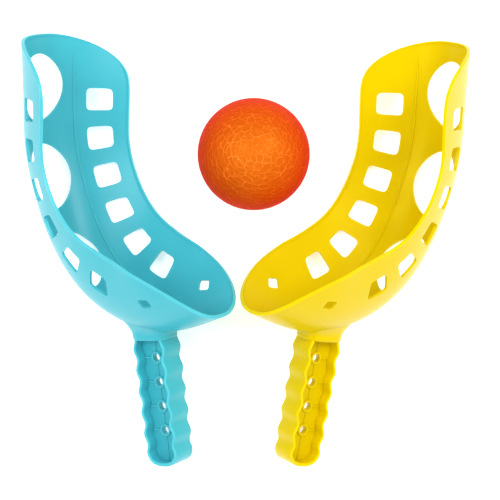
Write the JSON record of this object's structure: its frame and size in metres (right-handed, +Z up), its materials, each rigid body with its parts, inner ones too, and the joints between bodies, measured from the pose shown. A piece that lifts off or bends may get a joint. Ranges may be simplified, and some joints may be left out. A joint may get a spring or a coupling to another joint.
{
  "type": "scoop ball set",
  "caption": "Toss-and-catch set of moulded plastic hand scoops with windowed trough baskets and ribbed wavy grips, and a soft textured ball, lying on the floor.",
  "frame": {"origin": "on the floor, under the middle of the set's bounding box", "axes": "+Z up from the floor, +X from the blue scoop to the yellow one, +Y from the grips towards the baskets' tips"},
  "size_m": [0.3502, 0.3442, 0.1136],
  "materials": {
    "turquoise_plastic": "satin-gloss moulded polypropylene",
    "yellow_plastic": "satin-gloss moulded polypropylene",
    "orange_rubber": "soft skin with a raised network of fine lines"
  },
  "bodies": {
    "root": {"scoop_blue": "turquoise_plastic", "scoop_yellow": "yellow_plastic", "ball": "orange_rubber"}
  },
  "joints": []
}
